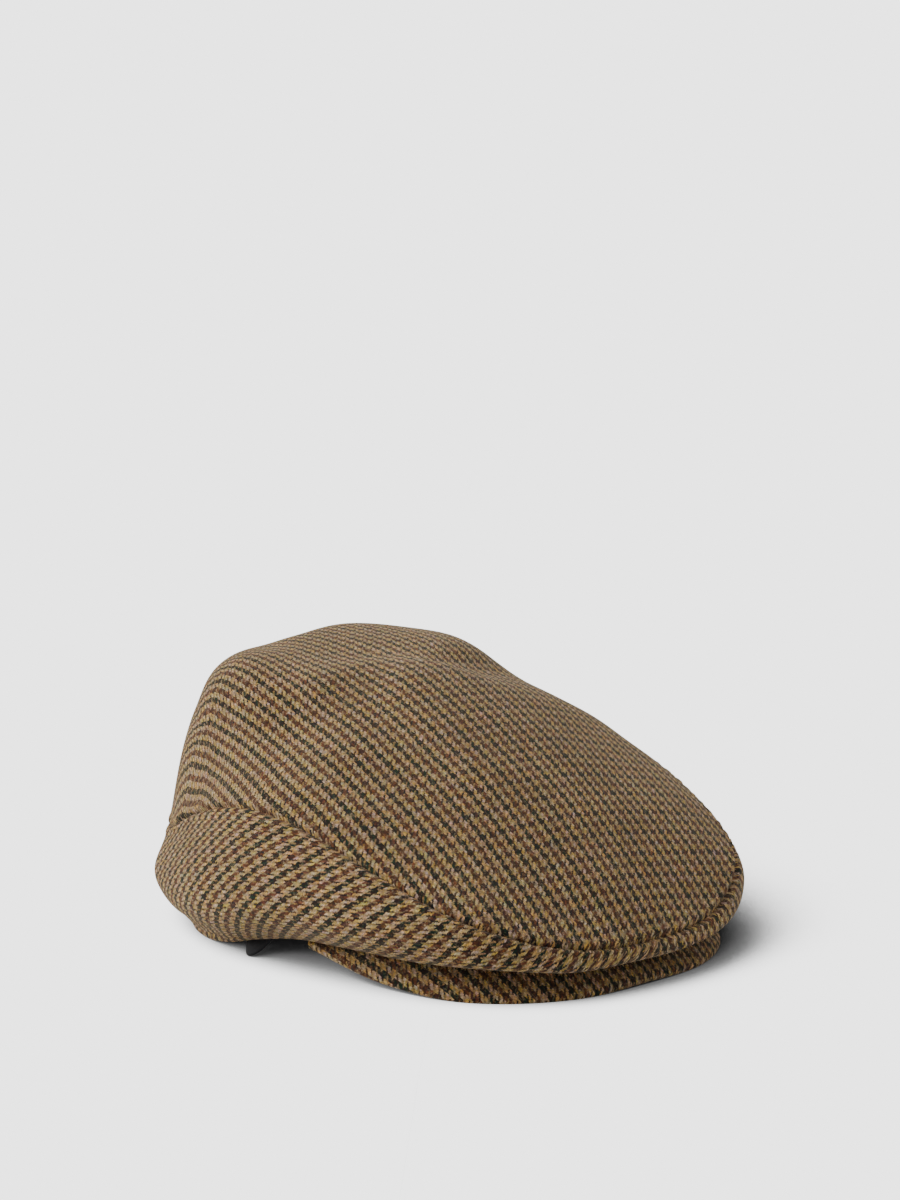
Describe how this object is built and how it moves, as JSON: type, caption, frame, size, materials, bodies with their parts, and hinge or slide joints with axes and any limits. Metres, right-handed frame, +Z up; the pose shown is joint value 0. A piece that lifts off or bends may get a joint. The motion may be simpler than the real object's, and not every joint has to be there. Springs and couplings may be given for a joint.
{
  "type": "flat cap",
  "caption": "Soft flat cap in checked wool cloth, with a sloping top panel, side panels, a stiff covered peak and an open head hollow.",
  "frame": {"origin": "on the floor under the middle of the cap's bounding box", "axes": "+Z up, -Y towards the peak, +X towards the wearer's left"},
  "size_m": [0.2266, 0.2614, 0.1145],
  "materials": {
    "wool_check": "matt woollen gun-club check, brown, ochre, rust and dark green yarns",
    "wool_check_peak": "the same woollen check over a stiff board",
    "sweatband_black": "black ribbed cotton band",
    "lining_black": "black satin lining"
  },
  "bodies": {
    "root": {"top_panel": "wool_check", "side_panel_right": "wool_check", "side_panel_left": "wool_check", "peak": "wool_check_peak", "sweatband": "sweatband_black", "lining": "lining_black"}
  },
  "joints": []
}
